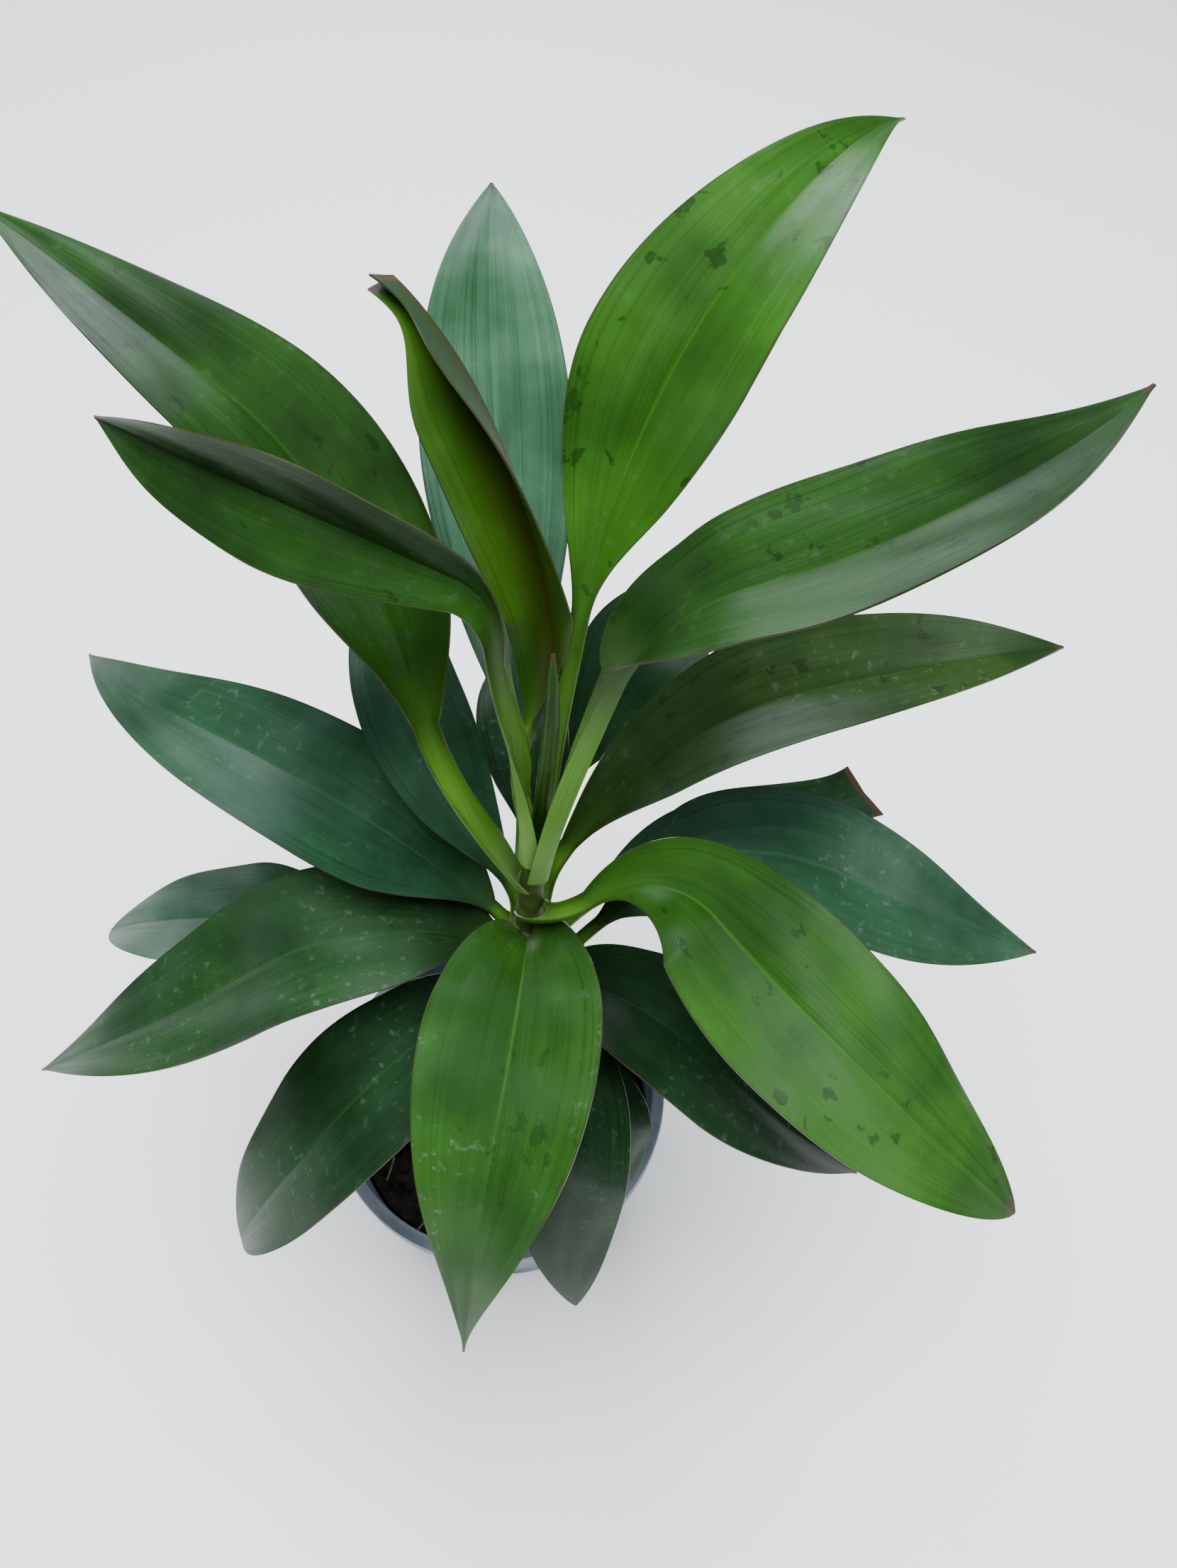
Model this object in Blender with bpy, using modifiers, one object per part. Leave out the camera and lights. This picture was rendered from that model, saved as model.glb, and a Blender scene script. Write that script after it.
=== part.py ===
"""A potted cordyline: a nursery pot of soil, one leaning stem and its spiral of long-stalked leaves.

Run with: blender --background --python part.py
Units are metres. +Z is up, +Y is the back of the plant, and the origin is the centre of the pot's underside.
"""
import math

import bpy
import bmesh
import numpy as np
from mathutils import Vector

MM = 0.001

# Driving sizes of the pot and its filling
POT_HEIGHT = 120 * MM
RIM_RADIUS = 70 * MM
BASE_RADIUS = 50 * MM
POT_WALL = 2.0 * MM
LIP_WIDTH = 6.0 * MM
LIP_DEPTH = 9.0 * MM
FLOOR = 2.5 * MM
DRAIN_RADIUS = 4.0 * MM
DRAIN_CIRCLE = 32 * MM
DRAIN_HOLES = 6
DRAIN_SIDES = 24
SOIL_TOP = 98 * MM
SOIL_RELIEF = 1.6 * MM
POT_SIDES = 48

# Clearance between touching pieces
GAP = 0.3 * MM

# The stem is straight and leans a little to the right and back
STEM_FOOT = Vector((8, 0, 98)) * MM
STEM_HEAD = Vector((22, 5, 306)) * MM
STEM_BURIED = 25 * MM
STEM_HEIGHTS = (98, 200, 250, 280, 300, 312)
STEM_RADII = (6.4, 5.4, 4.8, 4.2, 3.4, 2.2)
SCAR_SPACING = 9 * MM
SCAR_RELIEF = 0.35 * MM
STEM_SIDES = 14

# Leaf section sizes
BLADE_THICKNESS = 0.8 * MM
RIB_THICKNESS = 1.7 * MM
STALK_THICKNESS = 1.8 * MM
SHEATH_CLEARANCE = 0.3 * MM
STALK_ROWS = 6
BLADE_ROWS = 18
LEAF_COLUMNS = 4
SHEATH_END = 0.7
HOLLOW_STALK = math.radians(70)
STALK_FOLD = math.radians(22)
STALK_RUNS_OUT = 0.22

LEAF_GREEN = (0.045, 0.16, 0.02, 1)
OLD_LEAF_GREEN = (0.02, 0.08, 0.04, 1)
YOUNG_LEAF_OLIVE = (0.12, 0.16, 0.02, 1)


def leaf(**values):
    """A leaf's own values over the usual ones: millimetres and degrees, stalk end to tip.

    node is the height where the stalk meets the stem. rise is the slope above level, and heading the direction
    seen from above (0 right, 90 back), each at the stem, the blade's base, the bend and the tip. bend is how far
    along the blade its third value lies. roll tips the blade sideways, fold raises both halves from the rib, curl
    bows them, and belly is where the blade is widest. base and tip are the fullness of its two ends, end is the
    half width left at its tip, and wrap is how far the stalk's foot reaches round the stem.
    """
    usual = dict(bend=0.5, roll=(0, 0), fold=(18, 10), curl=-4, belly=0.46, base=1.25, tip=1.05, end=0.4,
                 neck=4.2, wrap=60, color=LEAF_GREEN)
    usual.update(values)
    return usual


LEAVES = {
    "leaf_tall_right": leaf(node=306, petiole=75, blade=166, width=44, rise=(76, 65, 34, -20),
                            heading=(55, 65, 46, 55), fold=(19, 18), roll=(0, 6), belly=0.4, tip=1.27,
                            base=1.7, wrap=44),
    "leaf_back": leaf(node=279, petiole=45, blade=186, width=43, rise=(68, 51, 33, -5),
                      heading=(95, 96, 94, 91), fold=(16, 6), belly=0.5, tip=0.96, color=OLD_LEAF_GREEN),
    "leaf_young_folded": leaf(node=311, petiole=40, blade=128, width=38, rise=(90, 51, 60, 8),
                              heading=(124, 46, 110, 130), fold=(42, 77), roll=(-18, -79), belly=0.64,
                              tip=1.9, base=0.82, bend=0.25, end=8, wrap=46, color=YOUNG_LEAF_OLIVE),
    "leaf_tall_left": leaf(node=288, petiole=69, blade=197, width=43, rise=(75, 54, 20, 0),
                           heading=(195, 108, 146, 137), fold=(20, 15), roll=(4, 4), belly=0.4, tip=1.23,
                           base=0.8, neck=6.5, wrap=68),
    "leaf_young_left": leaf(node=303, petiole=99, blade=132, width=31, rise=(87, 91, 5, -10),
                            heading=(250, 114, 154, 141), fold=(36, 42), roll=(-50, -73), belly=0.52,
                            tip=0.97, bend=0.15, neck=5, wrap=50),
    "leaf_high_right": leaf(node=294, petiole=103, blade=136, width=40, rise=(80, 75, 17, 9),
                            heading=(-40, 4, 7, 41), fold=(17, 20), roll=(-3, -9), tip=1.08, base=0.8,
                            bend=0.3, neck=6.2, wrap=68),
    "leaf_mid_right": leaf(node=266, petiole=26, blade=180, width=41, rise=(68, 43, 2, -16),
                           heading=(52, 37, 14, 20), fold=(26, 28), roll=(11, 4), belly=0.5, tip=0.92,
                           base=0.95, neck=5, color=OLD_LEAF_GREEN),
    "leaf_inner_right": leaf(node=229, petiole=68, blade=102, width=40, rise=(65, 43, 7, -14),
                             heading=(80, 54, 61, 47), color=OLD_LEAF_GREEN),
    "leaf_low_right": leaf(node=242, petiole=30, blade=165, width=47, rise=(58, 33, -24, -31),
                           heading=(18, 23, -16, 2), fold=(14, 6), roll=(0, 7), belly=0.47, tip=0.98,
                           base=0.87, color=OLD_LEAF_GREEN),
    "leaf_blunt_right": leaf(node=206, petiole=35, blade=110, width=42, rise=(60, 23, 3, -4),
                             heading=(33, 32, 24, 26), end=12, color=OLD_LEAF_GREEN),
    "leaf_front_right": leaf(node=273, petiole=34, blade=169, width=54, rise=(62, 37, -20, -40),
                             heading=(-72, 20, -45, -25), fold=(9, 5), roll=(4, 1), belly=0.45, tip=0.7,
                             base=1.04, bend=0.23, neck=5.2, wrap=80),
    "leaf_low_front_right": leaf(node=225, petiole=14, blade=139, width=43, rise=(60, 53, -32, -50),
                                 heading=(-30, -37, -34, -7), fold=(19, 13), roll=(-2, -7), belly=0.43,
                                 tip=1.09, base=0.8, color=OLD_LEAF_GREEN),
    "leaf_front": leaf(node=262, petiole=9, blade=148, width=50, rise=(67, 51, -34, -70),
                       heading=(268, 272, 257, 255), fold=(14, 12), roll=(3, 5), belly=0.36, tip=1.52,
                       base=0.61, wrap=80),
    "leaf_low_front": leaf(node=200, petiole=20, blade=132, width=38, rise=(60, 63, -59, -72),
                           heading=(284, 299, 267, 282), fold=(18, 9), belly=0.37, tip=0.78, base=0.88,
                           color=OLD_LEAF_GREEN),
    "leaf_low_front_left": leaf(node=230, petiole=15, blade=141, width=45, rise=(58, 23, -39, -66),
                                heading=(225, 227, 216, 198), fold=(12, 9), roll=(3, -6), belly=0.4,
                                tip=0.5, base=0.69, color=OLD_LEAF_GREEN),
    "leaf_low_left": leaf(node=244, petiole=8, blade=184, width=48, rise=(52, 44, -22, -45),
                          heading=(192, 184, 201, 172), fold=(19, 8), roll=(4, -5), belly=0.36, tip=1.15,
                          base=0.71, bend=0.45),
    "leaf_lowest_left": leaf(node=214, petiole=42, blade=137, width=42, rise=(55, 13, -24, -41),
                             heading=(170, 173, 165, 167), fold=(17, 9), roll=(2, 5), tip=0.62,
                             color=OLD_LEAF_GREEN),
    "leaf_mid_left": leaf(node=250, petiole=15, blade=195, width=46, rise=(58, 49, -2, -30),
                          heading=(154, 160, 150, 128), fold=(16, 10), roll=(-2, 3), belly=0.31, tip=1.14,
                          base=0.89, color=OLD_LEAF_GREEN),
    "leaf_inner_left": leaf(node=258, petiole=16, blade=148, width=33, rise=(64, 55, 8, -18),
                            heading=(121, 140, 106, 92), fold=(19, 11), roll=(-2, -5), belly=0.42, tip=1.1,
                            base=1.03, color=OLD_LEAF_GREEN),
    "leaf_small_front": leaf(node=190, petiole=20, blade=79, width=26, rise=(60, 24, -65, -79),
                             heading=(308, 316, 289, 289), color=OLD_LEAF_GREEN),
    "leaf_low_back": leaf(node=219, petiole=42, blade=110, width=40, rise=(60, 25, -5, -30),
                          heading=(85, 88, 95, 96), color=OLD_LEAF_GREEN),
}

# The rolled young leaf at the heart of the plant, foot to tip, with its half thickness
SPEAR_POINTS = (
    (22.8, 4.6, 314), (25.2, 5.8, 330), (27, 8.5, 345), (28.3, 12, 358), (29, 15, 369), (29.3, 18, 378))
SPEAR_RADII = (1.9, 2.3, 2.5, 2.2, 1.5, 0.4)


def clear_scene():
    for item in list(bpy.data.objects):
        bpy.data.objects.remove(item, do_unlink=True)


def collection(name):
    group = bpy.data.collections.new(name)
    bpy.context.scene.collection.children.link(group)
    return group


def material(name, color, roughness):
    made = bpy.data.materials.get(name)
    if made is None:
        made = bpy.data.materials.new(name)
        made.use_nodes = True
        shader = made.node_tree.nodes["Principled BSDF"]
        shader.inputs["Base Color"].default_value = color
        shader.inputs["Roughness"].default_value = roughness
    made.diffuse_color = color
    return made


def add_object(name, data, group, finish):
    item = bpy.data.objects.new(name, data)
    group.objects.link(item)
    data.materials.append(finish)
    return item


def turned(name, profile, group, finish, sides=POT_SIDES):
    """A solid of revolution from (radius, height) points that start and end on the axis."""
    mesh = bpy.data.meshes.new(name)
    points = [(radius, 0, height) for radius, height in profile]
    mesh.from_pydata(points, [(i, i + 1) for i in range(len(points) - 1)], [])
    item = add_object(name, mesh, group, finish)
    screw = item.modifiers.new("turn", "SCREW")
    screw.axis = "Z"
    screw.steps = sides
    screw.render_steps = sides
    screw.use_merge_vertices = True
    screw.merge_threshold = 0.00001
    return item


def applied(item):
    """Replaces an object's mesh with its evaluated one, seams welded, and drops its modifiers."""
    graph = bpy.context.evaluated_depsgraph_get()
    mesh = bpy.data.meshes.new_from_object(item.evaluated_get(graph))
    item.modifiers.clear()
    item.data = mesh
    return item


def cutter(name, radius, depth, place, group, direction=Vector((0, 0, 1))):
    mesh = bpy.data.meshes.new(name)
    shape = bmesh.new()
    bmesh.ops.create_cone(shape, cap_ends=True, segments=DRAIN_SIDES, radius1=radius, radius2=radius,
                          depth=depth)
    shape.to_mesh(mesh)
    shape.free()
    item = bpy.data.objects.new(name, mesh)
    group.objects.link(item)
    item.location = place
    item.rotation_euler = direction.to_track_quat("Z", "Y").to_euler()
    item.hide_render = True
    item.display_type = "WIRE"
    return item


def cut(item, tool):
    boolean = item.modifiers.new(tool.name, "BOOLEAN")
    boolean.operation = "DIFFERENCE"
    boolean.object = tool


def wall_radius(height):
    """Outer radius of the pot's plain wall, under the lip."""
    top = RIM_RADIUS - LIP_WIDTH + POT_WALL
    return BASE_RADIUS + (top - BASE_RADIUS) * height / (POT_HEIGHT - LIP_DEPTH)


def build_pot(group, tools):
    """A thin tapered nursery pot with a turned-down lip and a ring of drain holes in its floor."""
    inner_top = wall_radius(POT_HEIGHT - LIP_DEPTH) - POT_WALL
    skirt = POT_HEIGHT - LIP_DEPTH
    edge = 1.2 * MM
    profile = (
        (0, FLOOR),
        (wall_radius(FLOOR) - POT_WALL, FLOOR),
        (inner_top, skirt),
        (inner_top + 0.6 * MM, POT_HEIGHT - edge),
        (inner_top + edge + 0.6 * MM, POT_HEIGHT),
        (RIM_RADIUS - edge, POT_HEIGHT),
        (RIM_RADIUS, POT_HEIGHT - edge),
        (RIM_RADIUS - 0.6 * MM, skirt),
        (wall_radius(skirt), skirt - 0.4 * MM),
        (wall_radius(edge), edge),
        (BASE_RADIUS - edge, 0),
        (0, 0),
    )
    pot = turned("pot", profile, group, material("pot_plastic", (0.16, 0.19, 0.23, 1), 0.5))
    for number in range(DRAIN_HOLES):
        angle = 2 * math.pi * number / DRAIN_HOLES
        place = Vector((math.cos(angle), math.sin(angle), 0)) * DRAIN_CIRCLE
        cut(pot, cutter("drain_%d" % number, DRAIN_RADIUS, 6 * FLOOR, place, tools))
    return pot


def stem_direction():
    return (STEM_HEAD - STEM_FOOT).normalized()


def stem_centre(height):
    return STEM_FOOT + (STEM_HEAD - STEM_FOOT) * (height - STEM_FOOT.z) / (STEM_HEAD.z - STEM_FOOT.z)


def stem_radius(height):
    return float(np.interp(height / MM, STEM_HEIGHTS, STEM_RADII)) * MM


def build_soil(group, tools):
    """The filled inside of the pot, with a lumpy top and a plain hole for the stem."""
    bottom = FLOOR + GAP
    rings = (59, 48, 37, 26, 14)
    profile = [(0, SOIL_TOP)]
    profile += [(radius * MM, SOIL_TOP) for radius in reversed(rings)]
    profile.append((wall_radius(SOIL_TOP - 2 * MM) - POT_WALL - GAP, SOIL_TOP - 2 * MM))
    profile.append((wall_radius(bottom) - POT_WALL - GAP, bottom))
    profile.append((0, bottom))
    soil = applied(turned("soil", profile, group, material("soil", (0.02, 0.016, 0.012, 1), 0.95)))
    for vertex in soil.data.vertices:
        if vertex.co.z > SOIL_TOP - MM:
            x, y = vertex.co.x / MM, vertex.co.y / MM
            vertex.co.z += SOIL_RELIEF * math.sin(0.19 * x + 1.3) * math.cos(0.23 * y + 0.12 * x)
    direction = stem_direction()
    middle = stem_centre(SOIL_TOP)
    length = 2 * (STEM_BURIED + GAP)
    cut(soil, cutter("stem_hole", stem_radius(SOIL_TOP) + GAP, length, middle, tools, direction))
    return soil


def build_stem(group):
    """A tapering cane ringed with old leaf scars, from inside the soil to under the heart leaf."""
    direction = stem_direction()
    foot = stem_centre(SOIL_TOP) - direction * STEM_BURIED
    length = (stem_centre(STEM_HEIGHTS[-1] * MM) - foot).length
    rows = int(length / (SCAR_SPACING / 2))
    profile = [(0, length)]
    for number in range(rows, -1, -1):
        along = length * number / rows
        height = foot.z + direction.z * along
        scar = SCAR_RELIEF if number % 2 else 0
        profile.append((stem_radius(height) - scar, along))
    profile.append((0, 0))
    stem = turned("stem", profile, group, material("stem", (0.12, 0.17, 0.05, 1), 0.6), STEM_SIDES)
    stem.location = foot
    stem.rotation_euler = direction.to_track_quat("Z", "Y").to_euler()
    return stem


def smooth(value):
    value = np.clip(value, 0, 1)
    return value * value * (3 - 2 * value)


def leaf_course(values, samples=400):
    """The rib's points at even steps from the stem to the tip, with its slope and heading there."""
    stalk = values["petiole"] * MM
    blade = values["blade"] * MM
    knots = (0, stalk, stalk + values["bend"] * blade, stalk + blade)
    along = np.linspace(0, stalk + blade, samples + 1)
    slope = np.radians(np.interp(along, knots, values["rise"]))
    heading = np.radians(np.interp(along, knots, values["heading"]))
    tangent = np.stack([np.cos(slope) * np.cos(heading), np.cos(slope) * np.sin(heading), np.sin(slope)], 1)
    height = values["node"] * MM
    away = np.array([math.cos(heading[0]), math.sin(heading[0]), 0])
    start = np.array(stem_centre(height)) + away * (stem_radius(height) + SHEATH_CLEARANCE + STALK_THICKNESS / 2)
    steps = (tangent[1:] + tangent[:-1]) / 2 * (along[1] - along[0])
    points = np.concatenate([[start], start + np.cumsum(steps, 0)])
    return along, points, slope, heading


def leaf_rows(values, stalk_rows, blade_rows):
    """Stations along the leaf: their place on the stalk (0 to 1) and on the blade (0 to 1)."""
    stalk = values["petiole"] * MM
    blade = values["blade"] * MM
    stations = np.concatenate([np.linspace(0, stalk, stalk_rows + 1)[:-1],
                               stalk + blade * np.linspace(0, 1, blade_rows + 1)])
    return stations, np.clip(stations / stalk, 0, 1), np.clip((stations - stalk) / blade, 0, 1)


def half_widths(values, stalk_place, blade_place):
    belly = values["belly"]
    rising = np.sin(np.pi / 2 * np.clip(blade_place / belly, 0, 1)) ** values["base"]
    falling = np.cos(np.pi / 2 * np.clip((blade_place - belly) / (1 - belly), 0, 1)) ** values["tip"]
    neck = values["neck"] * MM
    height = values["node"] * MM
    sheath = (stem_radius(height) + SHEATH_CLEARANCE + STALK_THICKNESS / 2) * math.radians(values["wrap"])
    stalk_half = neck + (sheath - neck) * (1 - smooth(stalk_place / SHEATH_END))
    blade_half = neck * (1 - blade_place) ** 3
    blade_half = blade_half + values["width"] * MM / 2 * np.where(blade_place < belly, rising, falling)
    blade_half = np.hypot(blade_half, values["end"] * MM * blade_place ** 2)
    return np.where(blade_place > 0, blade_half, stalk_half)


def leaf_points(values, stalk_rows=STALK_ROWS, blade_rows=BLADE_ROWS, columns=LEAF_COLUMNS):
    """The middle surface of a leaf, as rows of points from its foot to its tip."""
    along, course, slopes, headings = leaf_course(values)
    stations, stalk_place, blade_place = leaf_rows(values, stalk_rows, blade_rows)
    rib = np.stack([np.interp(stations, along, course[:, axis]) for axis in range(3)], 1)
    slope = np.interp(stations, along, slopes)
    heading = np.interp(stations, along, headings)
    tangent = np.stack([np.cos(slope) * np.cos(heading), np.cos(slope) * np.sin(heading), np.sin(slope)], 1)
    side = np.stack([-np.sin(heading), np.cos(heading), 0 * heading], 1)
    face = np.cross(tangent, side)
    first, last = np.radians(values["roll"])
    roll = np.where(blade_place > 0, first + (last - first) * blade_place, first * smooth(stalk_place))[:, None]
    side, face = side * np.cos(roll) + face * np.sin(roll), face * np.cos(roll) - side * np.sin(roll)
    half = half_widths(values, stalk_place, blade_place)
    wrap = math.radians(values["wrap"])
    into_stalk = smooth(stalk_place / SHEATH_END)
    into_blade = smooth(blade_place / STALK_RUNS_OUT)
    bow = np.where(blade_place > 0, HOLLOW_STALK + (math.radians(values["curl"]) - HOLLOW_STALK) * into_blade,
                   wrap + (HOLLOW_STALK - wrap) * into_stalk)
    bow = np.where(np.abs(bow) < 0.001, 0.001, bow)
    low, high = np.radians(values["fold"])
    fold = np.where(blade_place > 0, STALK_FOLD + (low + (high - low) * blade_place - STALK_FOLD) * into_blade,
                    STALK_FOLD * into_stalk)
    rows = []
    for across in np.linspace(-1, 1, columns + 1):
        angle = fold + bow * abs(across)
        out = half * (np.sin(angle) - np.sin(fold)) / bow * np.sign(across)
        lift = half * (np.cos(fold) - np.cos(angle)) / bow
        rows.append(rib + side * out[:, None] + face * lift[:, None])
    return np.stack(rows, 1), stalk_place, blade_place


def build_leaf(name, values, group):
    """One leaf: a sheet shaped on its rows of points, thickest along the rib, then given its thickness."""
    points, stalk_place, blade_place = leaf_points(values)
    count, width = points.shape[:2]
    mesh = bpy.data.meshes.new(name)
    shape = bmesh.new()
    bmesh.ops.create_grid(shape, x_segments=width - 1, y_segments=count - 1, size=1)
    vertices = sorted(shape.verts, key=lambda vertex: (round(vertex.co.y, 5), round(vertex.co.x, 5)))
    for place, vertex in enumerate(vertices):
        vertex.index = place
        vertex.co = points[place // width, width - 1 - place % width]
    shape.verts.sort()
    bmesh.ops.recalc_face_normals(shape, faces=shape.faces)
    bmesh.ops.triangulate(shape, faces=shape.faces)
    shape.to_mesh(mesh)
    shape.free()
    label = "old_leaf" if values["color"] == OLD_LEAF_GREEN else "leaf"
    label = "young_leaf" if values["color"] == YOUNG_LEAF_OLIVE else label
    item = add_object(name, mesh, group, material(label, values["color"], 0.4))
    thick = item.vertex_groups.new(name="thickness")
    for row in range(count):
        stalk = 1 - stalk_place[row] if blade_place[row] == 0 else 0
        middle = RIB_THICKNESS + (BLADE_THICKNESS - RIB_THICKNESS) * blade_place[row]
        middle = middle + (STALK_THICKNESS - middle) * stalk
        for column in range(width):
            across = abs(2 * column / (width - 1) - 1)
            size = BLADE_THICKNESS if across > 0.1 else middle
            thick.add([row * width + column], size / STALK_THICKNESS, "REPLACE")
    solid = item.modifiers.new("thickness", "SOLIDIFY")
    solid.thickness = STALK_THICKNESS
    solid.offset = 0
    solid.vertex_group = thick.name
    mesh.shade_smooth()
    return item


def build_spear(group):
    """The heart leaf, still rolled into a slim spear."""
    curve = bpy.data.curves.new("leaf_spear", "CURVE")
    curve.dimensions = "3D"
    curve.bevel_depth = MM
    curve.bevel_resolution = 2
    curve.use_fill_caps = True
    spline = curve.splines.new("POLY")
    spline.points.add(len(SPEAR_POINTS) - 1)
    for point, place, radius in zip(spline.points, SPEAR_POINTS, SPEAR_RADII):
        point.co = (*(Vector(place) * MM), 1)
        point.radius = radius
    return add_object("leaf_spear", curve, group, material("young_leaf", YOUNG_LEAF_OLIVE, 0.4))


def main():
    clear_scene()
    plant = collection("potted_cordyline")
    tools = collection("cutters")
    build_pot(plant, tools)
    build_soil(plant, tools)
    build_stem(plant)
    for name, values in LEAVES.items():
        build_leaf(name, values, plant)
    build_spear(plant)


main()
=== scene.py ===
"""A potted cordyline dressed for the camera: veined leaves, the cane, the soil and the nursery pot.

Units are metres. +Z is up and +Y is the back of the plant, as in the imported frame.
"""

import math
import random

import bpy
import numpy as np
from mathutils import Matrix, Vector, noise


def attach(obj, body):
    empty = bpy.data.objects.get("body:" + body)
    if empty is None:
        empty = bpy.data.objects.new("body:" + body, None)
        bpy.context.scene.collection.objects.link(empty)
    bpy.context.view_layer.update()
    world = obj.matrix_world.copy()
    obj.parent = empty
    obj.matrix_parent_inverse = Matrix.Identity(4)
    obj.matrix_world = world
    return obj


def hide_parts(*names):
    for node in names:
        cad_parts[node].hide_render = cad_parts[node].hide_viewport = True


MM = 0.001

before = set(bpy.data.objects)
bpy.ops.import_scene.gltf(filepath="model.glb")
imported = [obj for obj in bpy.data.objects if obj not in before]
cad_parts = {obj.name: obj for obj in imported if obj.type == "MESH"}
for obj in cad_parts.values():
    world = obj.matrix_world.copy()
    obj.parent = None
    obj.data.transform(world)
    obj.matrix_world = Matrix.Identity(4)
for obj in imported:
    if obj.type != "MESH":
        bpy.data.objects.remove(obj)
bpy.ops.object.select_all(action="DESELECT")
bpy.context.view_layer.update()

# Camera: it looks down on the plant from the front, level from side to side
CAMERA_SPOT = (0.038, -0.171, 0.601)
CAMERA_DOWN = math.radians(56)
CAMERA_LENS = 27
CAMERA_SENSOR = 36

# Pot
POT_HEIGHT = 120 * MM
RIM_RADIUS = 70 * MM
BASE_RADIUS = 50 * MM
POT_WALL = 2 * MM
LIP_WIDTH = 6 * MM
LIP_DEPTH = 9 * MM
FLOOR = 2.5 * MM
DRAIN_RADIUS = 4 * MM
DRAIN_CIRCLE = 32 * MM
DRAIN_HOLES = 6
DRAIN_SIDES = 32
EDGE_ROUND = 1.2 * MM
LIP_SWELL = 0.6 * MM
LIP_CORNER = 0.4 * MM
STEP_HEIGHTS = (85 * MM, 13 * MM)
STEP_SLOPE = 1 * MM
STEP_DEPTH = 0.7 * MM
FOOT_RING = 4 * MM
FOOT_RISE = 0.8 * MM
POT_SIDES = 96

# Soil and what lies on it
SOIL_TOP = 98 * MM
SOIL_CELLS = 120
SOIL_CLEARANCE = 0.3 * MM
SOIL_MARGIN = 0.6 * MM
SOIL_EDGE = 8 * MM
LITTER_RADIUS = 57 * MM
LITTER_FROM_CANE = 10 * MM
LITTER_SEED = 11
CRUMBS = 170
STRAWS = 16
STRAW_RADIUS = 0.45 * MM
STRAW_LIFT = 2.2 * MM

# Cane
STEM_FOOT = Vector((8, 0, 98)) * MM
STEM_HEAD = Vector((22, 5, 306)) * MM
STEM_BURIED = 25 * MM
STEM_HEIGHTS = (98, 200, 250, 280, 300, 312)
STEM_RADII = (6.4, 5.4, 4.8, 4.2, 3.4, 2.2)
STEM_RINGS = 90
STEM_SIDES = 32
SCAR_SPACING = 9 * MM
SCAR_DEPTH = 0.5 * MM
SCAR_WIDTH = 0.12
SCAR_SWELL = 0.2 * MM
STEM_CLEARANCE = 0.2 * MM

# Leaf sections
BLADE_THICKNESS = 0.5 * MM
RIB_THICKNESS = 1.5 * MM
STALK_THICKNESS = 1.7 * MM
CAD_STALK_THICKNESS = 1.8 * MM
SHEATH_CLEARANCE = 0.3 * MM
SHEATH_END = 0.7
HOLLOW_STALK = math.radians(70)
STALK_FOLD = math.radians(22)
STALK_RUNS_OUT = 0.22
RIB_SPREAD = 1.8 * MM

# Leaf relief
CHANNEL_DEPTH = 0.5 * MM
CHANNEL_WIDTH = 1.4 * MM
RIPPLE_RISE = 1.8
RIPPLE_SHIFT = 2.1
PLEAT_HEIGHT = 0.10 * MM
PLEATS = 7
PLEAT_SLANT = 1.6
DENT_HEIGHT = 0.35 * MM

# Leaf meshes
STALK_ROWS = 22
BLADE_ROWS = 84
LEAF_COLUMNS = 36
COLUMN_CROWDING = 1.25
COURSE_POINTS = 401
NEARLY_FLAT = 0.001
LEAF_SMOOTHING = math.radians(50)


def leaf(**values):
    """A leaf's own values over the usual ones, in millimetres and degrees.

    node is the height where the stalk meets the stem. rise is the slope above level, and heading the
    direction seen from above (0 right, 90 back), each at the stem, the blade's base, the bend and the tip.
    bend is how far along the blade the third of these lies. roll tips the blade sideways and fold raises
    both halves from the rib, each at the blade's base and tip. curl bows the halves, and belly is where the
    blade is widest. base and tip are the fullness of its two ends, neck and end its half widths there, and
    wrap is how far the stalk's foot reaches round the stem to each side. wave and waves are the height and
    number of the ripples along its margins, phase shifts them, and tone names its finish.
    """
    usual = dict(bend=0.5, roll=(0, 0), fold=(18, 10), curl=-4, belly=0.46, base=1.25, tip=1.05, end=0.4,
                 neck=4.2, wrap=60, wave=0.8, waves=2.5, phase=0.0, tone="old")
    usual.update(values)
    return usual


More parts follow.
